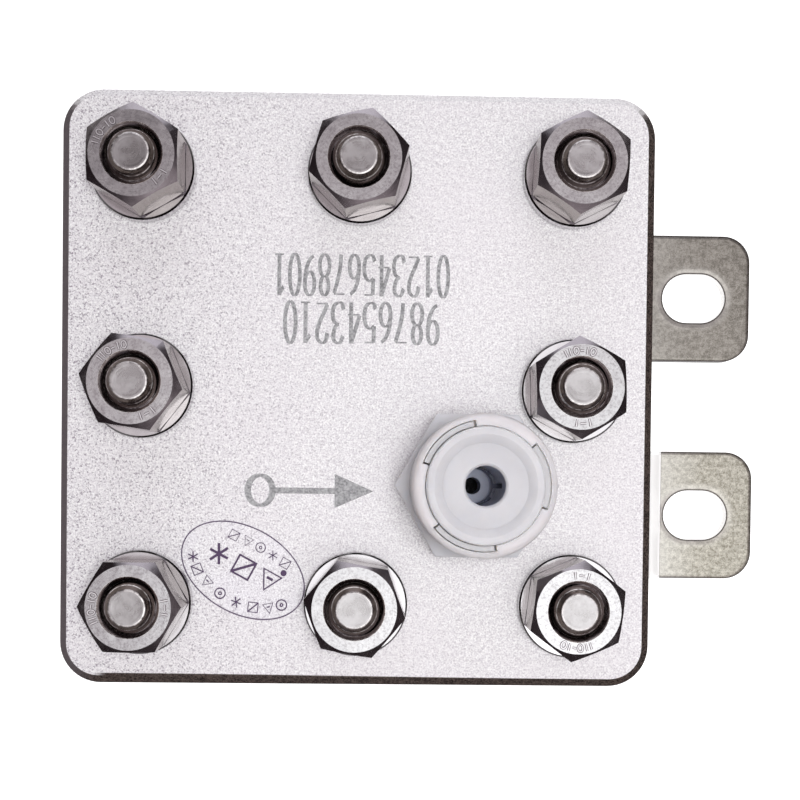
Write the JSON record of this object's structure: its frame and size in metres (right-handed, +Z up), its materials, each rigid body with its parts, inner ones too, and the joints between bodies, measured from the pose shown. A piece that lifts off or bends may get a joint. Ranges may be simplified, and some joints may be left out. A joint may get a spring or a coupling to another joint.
{
  "type": "electrolyser cell",
  "caption": "Square electrolysis cell: bolted end plates clamp a membrane stack with slotted terminal tabs, a push-in tube outlet on top and threaded ports underneath.",
  "frame": {"origin": "centre of the bottom end plate's outer face, on the stack's axis; the bolt heads and their washers stand below it", "axes": "+Z up the stack to the hydrogen fitting, +X out along the two terminal tabs, +Y towards the anode tab"},
  "size_m": [0.0856, 0.0694, 0.0482],
  "materials": {
    "blasted_steel": "fine blasted stainless steel, edges polished",
    "bright_steel": "bright stainless steel fasteners",
    "titanium": "satin titanium sheet",
    "spring_steel": "bright spring steel",
    "white_plastic": "moulded, slightly translucent white plastic",
    "insulator": "skived white sheet",
    "sleeve_plastic": "white plastic tube",
    "membrane": "thin clear polymer sheet",
    "gasket_rubber": "moulded dark grey silicone rubber",
    "seal_rubber": "black rubber",
    "felt": "sintered grey metal felt",
    "carbon_paper": "black carbon fibre paper",
    "clear_film": "clear film with a dark printed outline"
  },
  "bodies": {
    "cell": {"bottom_end_plate": "blasted_steel", "top_end_plate": "blasted_steel", "bottom_insulator": "insulator", "top_insulator": "insulator", "anode_terminal_plate": "titanium", "cathode_terminal_plate": "titanium", "anode_gasket": "gasket_rubber", "cathode_gasket": "gasket_rubber", "membrane": "membrane", "titanium_felt": "felt", "gas_diffusion_layer": "carbon_paper", "water_port_seal": "seal_rubber", "oxygen_port_seal": "seal_rubber", "hydrogen_port_seal": "seal_rubber", "tube_seal_ring": "seal_rubber", "bolt_sleeves": "sleeve_plastic", "tie_bolts": "bright_steel", "bottom_washers": "bright_steel", "top_washers": "bright_steel", "hex_nuts": "bright_steel", "fitting_seal_washer": "white_plastic", "fitting_body": "white_plastic", "fitting_end_cap": "white_plastic", "grip_ring": "spring_steel", "inspection_sticker": "clear_film"},
    "collet": {"release_collet": "white_plastic"}
  },
  "joints": [
    {"name": "collet_press", "type": "slide", "parent": "cell", "child": "collet", "axis": [0, 0, 1], "range_m": [-0.001, 0], "stiffness_N_per_m": 400, "springref_m": 0.0005}
  ]
}
